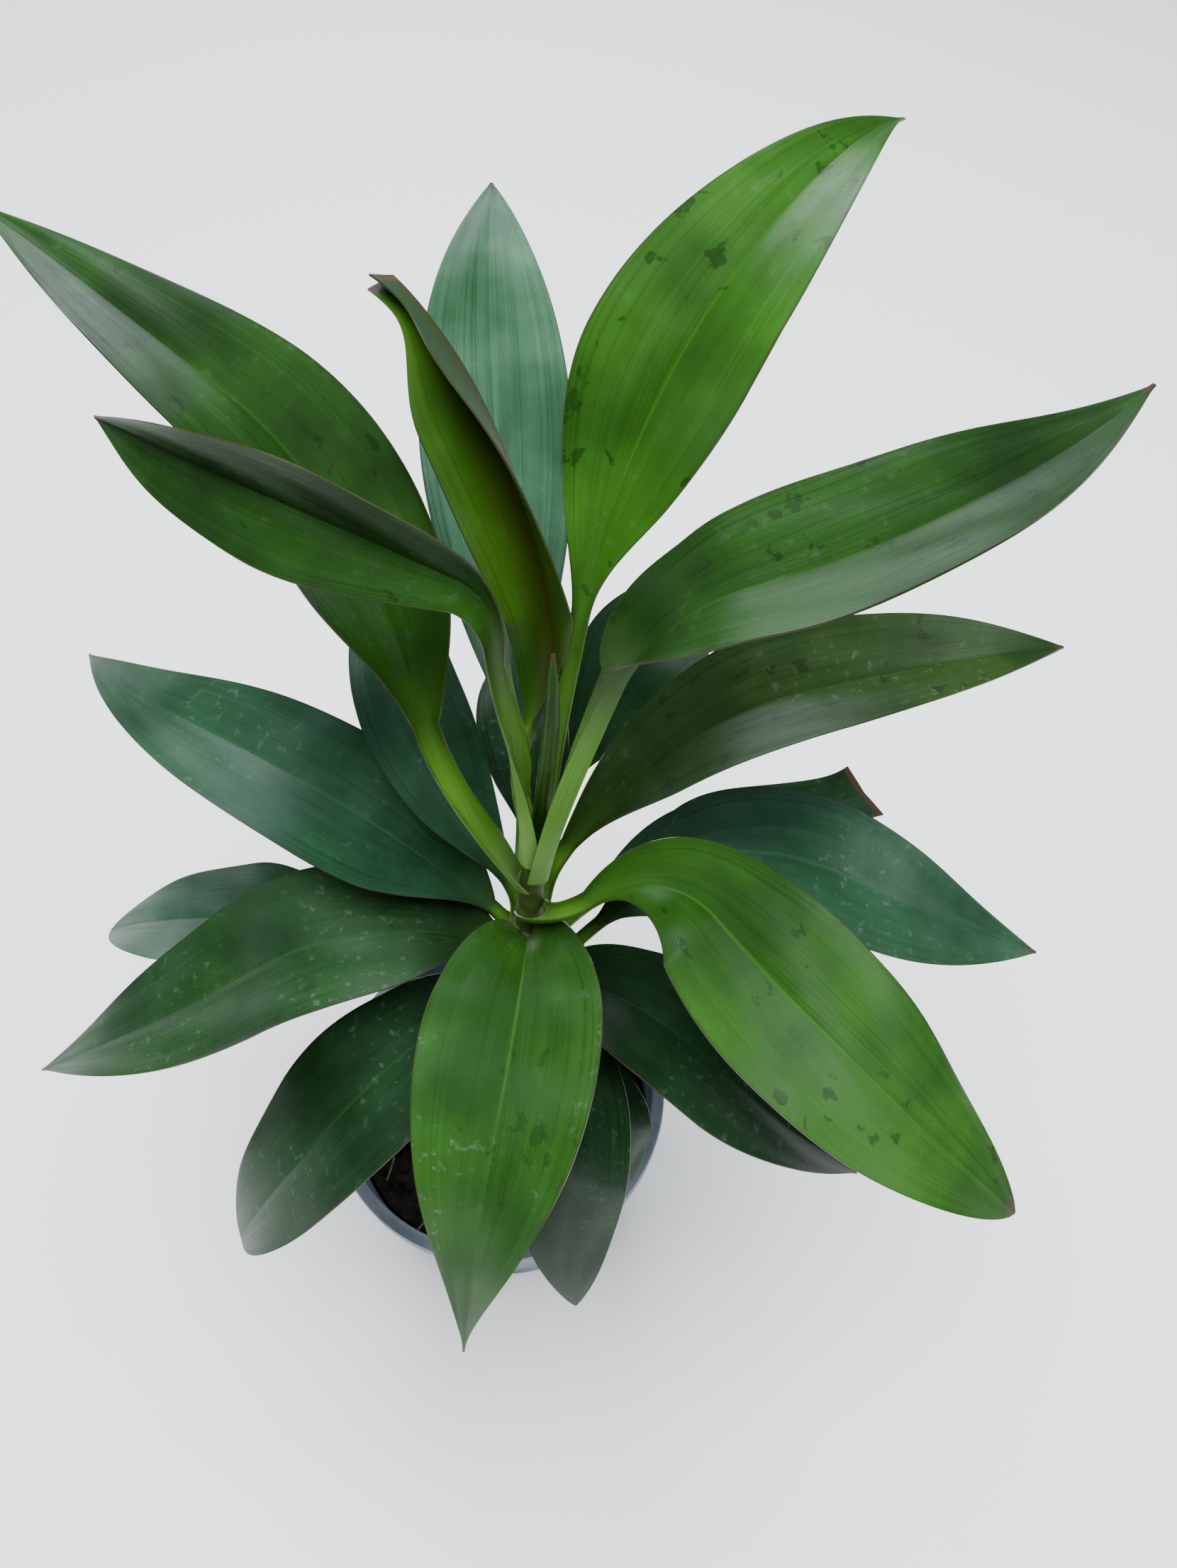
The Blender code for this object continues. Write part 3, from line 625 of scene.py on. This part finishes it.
def lathe(name, outline, sides):
    """A round solid: a ring extruded from point to point of its outline, then closed at both ends."""
    radius, height = outline[0]
    bpy.ops.mesh.primitive_circle_add(vertices=sides, radius=radius, location=(0, 0, height))
    piece = bpy.context.object
    piece.name = name
    bpy.ops.object.transform_apply(location=True, rotation=True, scale=True)
    bpy.ops.object.mode_set(mode="EDIT")
    bpy.ops.mesh.select_all(action="SELECT")
    bpy.ops.mesh.edge_face_add()
    bpy.ops.mesh.select_all(action="SELECT")
    bpy.ops.mesh.delete(type="ONLY_FACE")
    bpy.ops.mesh.select_all(action="SELECT")
    for next_radius, next_height in outline[1:]:
        bpy.ops.mesh.extrude_edges_move(TRANSFORM_OT_translate={"value": (0, 0, next_height - height)})
        grow = next_radius / radius
        bpy.ops.transform.resize(value=(grow, grow, 1), center_override=(0, 0, next_height))
        radius, height = next_radius, next_height
    bpy.ops.mesh.edge_face_add()
    bpy.ops.mesh.select_all(action="DESELECT")
    bpy.ops.mesh.select_non_manifold()
    bpy.ops.mesh.edge_face_add()
    bpy.ops.mesh.select_all(action="SELECT")
    bpy.ops.mesh.normals_make_consistent(inside=False)
    bpy.ops.object.mode_set(mode="OBJECT")
    return piece


def wall_radius(height):
    """Outer radius of the pot's plain wall, under the lip."""
    top = RIM_RADIUS - LIP_WIDTH + POT_WALL
    return BASE_RADIUS + (top - BASE_RADIUS) * height / (POT_HEIGHT - LIP_DEPTH)


def pot_material():
    nodes = Nodes("pot_plastic")
    place = nodes.add("TexCoord").outputs["Object"]
    cloud = nodes.noise(place, 26.0, 5.0, 0.6)
    grit = nodes.noise(place, 420.0, 3.0, 0.6)
    rust = nodes.math("MULTIPLY", nodes.ramp(nodes.noise(place, 70.0, 4.0, 0.6, 0.5), 0.56, 0.68),
                      nodes.ramp(nodes.noise(place, 14.0, 2.0), 0.45, 0.60))
    color = nodes.mix(nodes.ramp(cloud, 0.35, 0.65), POT_SHADE, POT_LIT)
    color = nodes.mix(nodes.math("MULTIPLY", rust, 0.6), color, POT_RUST)
    color = nodes.mix(nodes.math("MULTIPLY", nodes.ramp(grit, 0.58, 0.72), 0.35), color, POT_GRIT)
    normal = nodes.bump(grit, 0.15, 0.2 * MM)
    return nodes.finish(color, nodes.ramp(cloud, 0.3, 0.7, 0.38, 0.58), normal)


def make_pot():
    skirt = POT_HEIGHT - LIP_DEPTH
    inner_top = wall_radius(skirt) - POT_WALL
    inner_foot = wall_radius(FLOOR) - POT_WALL
    middle = BASE_RADIUS * 0.2
    step_top, step_foot = STEP_HEIGHTS
    outline = (
        (middle, FLOOR),
        (inner_foot - EDGE_ROUND, FLOOR),
        (inner_foot, FLOOR + EDGE_ROUND),
        (inner_top - LIP_SWELL, skirt - 12 * MM),
        (inner_top, skirt),
        (inner_top + LIP_SWELL, POT_HEIGHT - EDGE_ROUND),
        (inner_top + LIP_SWELL + LIP_CORNER, POT_HEIGHT - LIP_CORNER),
        (inner_top + EDGE_ROUND + 2 * LIP_CORNER, POT_HEIGHT),
        (RIM_RADIUS - 1.4 * EDGE_ROUND, POT_HEIGHT),
        (RIM_RADIUS - LIP_CORNER, POT_HEIGHT - 0.5 * MM),
        (RIM_RADIUS, POT_HEIGHT - 1.4 * EDGE_ROUND),
        (RIM_RADIUS - LIP_CORNER, skirt + LIP_CORNER),
        (RIM_RADIUS - 2 * LIP_CORNER, skirt),
        (wall_radius(skirt) + 2 * LIP_CORNER, skirt - 0.2 * MM),
        (wall_radius(skirt), skirt - 2 * LIP_CORNER),
        (wall_radius(step_top + STEP_SLOPE), step_top + STEP_SLOPE),
        (wall_radius(step_top - STEP_SLOPE) - STEP_DEPTH, step_top - STEP_SLOPE),
        (wall_radius(step_foot + STEP_SLOPE) - STEP_DEPTH, step_foot + STEP_SLOPE),
        (wall_radius(step_foot - STEP_SLOPE), step_foot - STEP_SLOPE),
        (wall_radius(EDGE_ROUND), EDGE_ROUND),
        (BASE_RADIUS - EDGE_ROUND, 0),
        (BASE_RADIUS - FOOT_RING, 0),
        (BASE_RADIUS - FOOT_RING - 1 * MM, FOOT_RISE),
        (middle, FOOT_RISE),
    )
    pot = lathe("nursery_pot", outline, POT_SIDES)
    for number in range(DRAIN_HOLES):
        angle = 2 * math.pi * number / DRAIN_HOLES
        spot = (DRAIN_CIRCLE * math.cos(angle), DRAIN_CIRCLE * math.sin(angle), 0)
        bpy.ops.mesh.primitive_cylinder_add(
            vertices=DRAIN_SIDES, radius=DRAIN_RADIUS, depth=6 * FLOOR, location=spot)
        drill = bpy.context.object
        hole = pot.modifiers.new("drain", "BOOLEAN")
        hole.operation = "DIFFERENCE"
        hole.object = drill
        bpy.ops.object.select_all(action="DESELECT")
        bpy.context.view_layer.objects.active = pot
        pot.select_set(True)
        bpy.ops.object.modifier_apply(modifier=hole.name)
        bpy.data.objects.remove(drill, do_unlink=True)
    pot.data.materials.append(pot_material())
    bpy.ops.object.shade_smooth_by_angle(angle=math.radians(35))
    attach(pot, "root")
    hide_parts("pot")
    pot.select_set(False)


def soil_height(x, y):
    """Height of the soil at a place: it rises to the cane, with lumps and crumbs on it."""
    spot = Vector((x, y, 0))
    lumps = noise.noise(spot * 55) * 1.6 + noise.noise(spot * 170) * 1.1 + noise.noise(spot * 420) * 0.6
    from_cane = math.hypot(x - STEM_FOOT.x, y - STEM_FOOT.y)
    return SOIL_TOP + (lumps + 2.0 * math.exp(-(from_cane / (14 * MM)) ** 2) - 0.5) * MM


def soil_material():
    nodes = Nodes("potting_soil")
    place = nodes.add("TexCoord").outputs["Object"]
    clod = nodes.noise(place, 160.0, 5.0, 0.65)
    fibre = nodes.noise(nodes.scaled(place, (900, 260, 300)), 1.0, 4.0, 0.6)
    color = nodes.mix(nodes.ramp(clod, 0.35, 0.65), SOIL_SHADE, SOIL_LIT)
    color = nodes.mix(nodes.math("MULTIPLY", nodes.ramp(fibre, 0.62, 0.72), 0.5), color, SOIL_FIBRE)
    normal = nodes.bump(clod, 0.8, 1.2 * MM)
    return nodes.finish(color, 0.92, normal, Specular_IOR_Level=0.25)


def make_soil():
    """The soil: a square sheet drawn round, its top made lumpy, its edge pulled down to the pot's floor."""
    top_radius = wall_radius(SOIL_TOP) - POT_WALL - SOIL_MARGIN
    bpy.ops.mesh.primitive_grid_add(x_subdivisions=SOIL_CELLS, y_subdivisions=SOIL_CELLS, size=2)
    soil = bpy.context.object
    soil.name = "soil_fill"
    for vertex in soil.data.vertices:
        x, y = vertex.co.x, vertex.co.y
        disc_x = x * math.sqrt(1 - y * y / 2) * top_radius
        disc_y = y * math.sqrt(1 - x * x / 2) * top_radius
        vertex.co = (disc_x, disc_y, soil_height(disc_x, disc_y))
    bpy.ops.object.mode_set(mode="EDIT")
    bpy.ops.mesh.select_all(action="DESELECT")
    bpy.ops.mesh.select_non_manifold()
    bottom = FLOOR + SOIL_CLEARANCE
    bottom_radius = wall_radius(bottom) - POT_WALL - SOIL_MARGIN
    bpy.ops.mesh.extrude_edges_move(TRANSFORM_OT_translate={"value": (0, 0, -SOIL_EDGE)})
    bpy.ops.mesh.extrude_edges_move(TRANSFORM_OT_translate={"value": (0, 0, bottom - SOIL_TOP)})
    grow = bottom_radius / top_radius
    bpy.ops.transform.resize(value=(grow, grow, 0), center_override=(0, 0, bottom))
    bpy.ops.mesh.edge_face_add()
    bpy.ops.mesh.select_all(action="SELECT")
    bpy.ops.mesh.normals_make_consistent(inside=False)
    bpy.ops.object.mode_set(mode="OBJECT")
    soil.data.materials.append(soil_material())
    bpy.ops.object.shade_smooth()
    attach(soil, "root")
    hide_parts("soil")
    soil.select_set(False)


def joined(name, pieces):
    bpy.ops.object.select_all(action="DESELECT")
    for piece in pieces:
        piece.select_set(True)
    bpy.context.view_layer.objects.active = pieces[0]
    bpy.ops.object.join()
    whole = bpy.context.object
    whole.name = name
    bpy.ops.object.transform_apply(location=True, rotation=True, scale=True)
    return whole


def litter_spot(draw):
    """A place on the soil, clear of the cane and the wall."""
    while True:
        distance = LITTER_RADIUS * math.sqrt(draw.random())
        angle = draw.uniform(0, 2 * math.pi)
        x, y = distance * math.cos(angle), distance * math.sin(angle)
        if math.hypot(x - STEM_FOOT.x, y - STEM_FOOT.y) > LITTER_FROM_CANE:
            return x, y


def make_litter():
    """Crumbs of bark and a few straws that lie on the soil."""
    draw = random.Random(LITTER_SEED)
    crumbs = []
    for number in range(CRUMBS):
        x, y = litter_spot(draw)
        size = draw.uniform(0.8, 2.4) * MM
        bpy.ops.mesh.primitive_ico_sphere_add(subdivisions=2, radius=size)
        crumb = bpy.context.object
        for vertex in crumb.data.vertices:
            vertex.co *= 1 + 0.35 * noise.noise(vertex.co / size * 1.3 + Vector((number, 0, 0)))
        crumb.scale = (1, draw.uniform(0.6, 1), draw.uniform(0.45, 0.8))
        crumb.rotation_euler = (0, 0, draw.uniform(0, math.pi))
        crumb.location = (x, y, soil_height(x, y) + 0.1 * size)
        crumbs.append(crumb)
    whole = joined("soil_crumbs", crumbs)
    whole.data.materials.append(soil_material())
    bpy.ops.object.shade_smooth()
    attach(whole, "root")
    whole.select_set(False)
    straws = []
    for _ in range(STRAWS):
        x, y = litter_spot(draw)
        length = draw.uniform(7, 20) * MM
        bpy.ops.mesh.primitive_cylinder_add(
            vertices=7, radius=STRAW_RADIUS, depth=length, location=(0, 0, 0))
        straw = bpy.context.object
        bpy.ops.object.mode_set(mode="EDIT")
        bpy.ops.mesh.select_all(action="SELECT")
        bpy.ops.mesh.subdivide(number_cuts=5)
        bpy.ops.object.mode_set(mode="OBJECT")
        bow = draw.uniform(-0.15, 0.15)
        for vertex in straw.data.vertices:
            along = vertex.co.z / length
            vertex.co.x += bow * length * (0.25 - along * along)
        straw.rotation_euler = (math.pi / 2, 0, draw.uniform(0, math.pi))
        straw.location = (x, y, SOIL_TOP + STRAW_LIFT)
        straws.append(straw)
    whole = joined("soil_straws", straws)
    nodes = Nodes("straw")
    place = nodes.add("TexCoord").outputs["Object"]
    color = nodes.mix(nodes.noise(place, 300.0), STRAW_SHADE, STRAW_LIT)
    whole.data.materials.append(nodes.finish(color, 0.8))
    bpy.ops.object.shade_smooth()
    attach(whole, "root")
    whole.select_set(False)


def stem_material():
    nodes = Nodes("cane_skin")
    place = nodes.add("TexCoord").outputs["Object"]
    cloud = nodes.noise(place, 60.0, 4.0, 0.6)
    height = nodes.add("SeparateXYZ", {0: place}).outputs[2]
    young = nodes.ramp(height, 150 * MM, 300 * MM)
    color = nodes.mix(young, CANE_OLD, CANE_YOUNG)
    color = nodes.mix(nodes.ramp(cloud, 0.35, 0.65, 0.0, 0.5), color, CANE_SHADE)
    normal = nodes.bump(nodes.noise(nodes.scaled(place, (600, 600, 60)), 1.0), 0.4, 0.4 * MM)
    return nodes.finish(color, 0.6, normal)


def make_stem():
    """The cane, ringed with the scars of shed leaves."""
    direction = (STEM_HEAD - STEM_FOOT).normalized()
    foot = stem_centre(SOIL_TOP) - direction * STEM_BURIED
    length = (stem_centre(STEM_HEIGHTS[-1] * MM) - foot).length
    outline = [(2 * MM, 0)]
    for number in range(STEM_RINGS + 1):
        along = length * number / STEM_RINGS
        beat = (along % SCAR_SPACING) / SCAR_SPACING
        scar = SCAR_DEPTH * math.exp(-((beat - 0.5) / SCAR_WIDTH) ** 2)
        radius = stem_radius(foot.z + direction.z * along) - scar - STEM_CLEARANCE + SCAR_SWELL * beat
        outline.append((radius, along))
    outline.append((0.6 * MM, length + 0.4 * MM))
    stem = lathe("cane", outline, STEM_SIDES)
    stem.rotation_euler = direction.to_track_quat("Z", "Y").to_euler()
    stem.location = foot
    bpy.ops.object.transform_apply(location=True, rotation=True, scale=True)
    stem.data.materials.append(stem_material())
    bpy.ops.object.shade_smooth()
    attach(stem, "root")
    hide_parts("stem")
    stem.select_set(False)


def make_spear(skin):
    """The heart leaf: a sheet rolled nearly one and a half turns into a slim spear."""
    knots = np.array(SPEAR_POINTS) * MM
    radii = np.array(SPEAR_RADII) * MM
    rows, columns = SPEAR_ROWS, SPEAR_COLUMNS
    bpy.ops.mesh.primitive_grid_add(x_subdivisions=columns, y_subdivisions=rows, size=1)
    spear = bpy.context.object
    spear.name = "heart_spear"
    mesh = spear.data
    while mesh.uv_layers:
        mesh.uv_layers.remove(mesh.uv_layers[0])
    place = np.linspace(0, 1, rows + 1)
    knot_place = np.linspace(0, 1, len(knots))
    centre = np.stack([np.interp(place, knot_place, knots[:, axis]) for axis in range(3)], 1)
    radius = np.interp(place, knot_place, radii)
    around = np.linspace(0, 1, columns + 1)
    angle = 2 * np.pi * SPEAR_TURNS * around[None, :] + SPEAR_TWIST * place[:, None] + SPEAR_START
    rolled = SPEAR_HOLLOW + (1 - SPEAR_HOLLOW) * around
    reach = radius[:, None] * rolled[None, :]
    points = np.stack([centre[:, :1] + reach * np.cos(angle), centre[:, 1:2] + reach * np.sin(angle),
                       np.broadcast_to(centre[:, 2:], angle.shape)], 2)
    mesh.vertices.foreach_set("co", points.reshape(-1, 3).astype(np.float32).ravel())
    span = np.stack([np.broadcast_to(around[None, :] * 0.44 + 0.53, angle.shape).ravel(),
                     np.repeat(place * 1.02, columns + 1)], 1)
    set_uv(mesh, "span", span)
    set_uv(mesh, "size", span * np.array([0.2, 1.2]))
    solid = spear.modifiers.new("thickness", "SOLIDIFY")
    solid.thickness = SPEAR_SHEET
    solid.offset = 0
    mesh.materials.append(skin)
    bpy.ops.object.modifier_apply(modifier=solid.name)
    bpy.ops.object.shade_smooth_by_angle(angle=LEAF_SMOOTHING)
    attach(spear, "root")
    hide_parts("leaf_spear")
    spear.select_set(False)


def add_camera():
    bpy.ops.object.camera_add(location=CAMERA_SPOT, rotation=(math.pi / 2 - CAMERA_DOWN, 0, 0))
    camera = bpy.context.object
    camera.data.lens = CAMERA_LENS
    camera.data.sensor_width = CAMERA_SENSOR
    bpy.context.scene.camera = camera
    camera.select_set(False)


def soft_light(name, spot, size, power, color):
    bpy.ops.object.light_add(type="AREA", location=spot)
    lamp = bpy.context.object
    lamp.name = name
    lamp.data.shape = "RECTANGLE"
    lamp.data.size, lamp.data.size_y = size
    lamp.data.energy = power
    lamp.data.color = color
    lamp.rotation_euler = (Vector(LIGHT_TARGET) - Vector(spot)).to_track_quat("-Z", "Y").to_euler()
    lamp.select_set(False)
    return lamp


def make_studio():
    bpy.ops.mesh.primitive_plane_add(size=FLOOR_SIZE)
    floor = bpy.context.object
    floor.name = "studio_floor"
    nodes = Nodes("studio_floor")
    floor.data.materials.append(nodes.finish(FLOOR_PALE, 0.9, Specular_IOR_Level=0.1))
    floor.select_set(False)
    lamps = {light[0]: soft_light(*light) for light in LIGHTS}
    lamps["overhead"].visible_glossy = False
    world = bpy.data.worlds.new("studio")
    world.use_nodes = True
    sky = world.node_tree.nodes["Background"]
    sky.inputs["Color"].default_value = ROOM_COLOR
    sky.inputs["Strength"].default_value = ROOM_STRENGTH
    bpy.context.scene.world = world


add_camera()
make_studio()
make_pot()
make_soil()
make_litter()
make_stem()
leaf_skins = make_leaves()
make_spear(leaf_skins["young"][0])
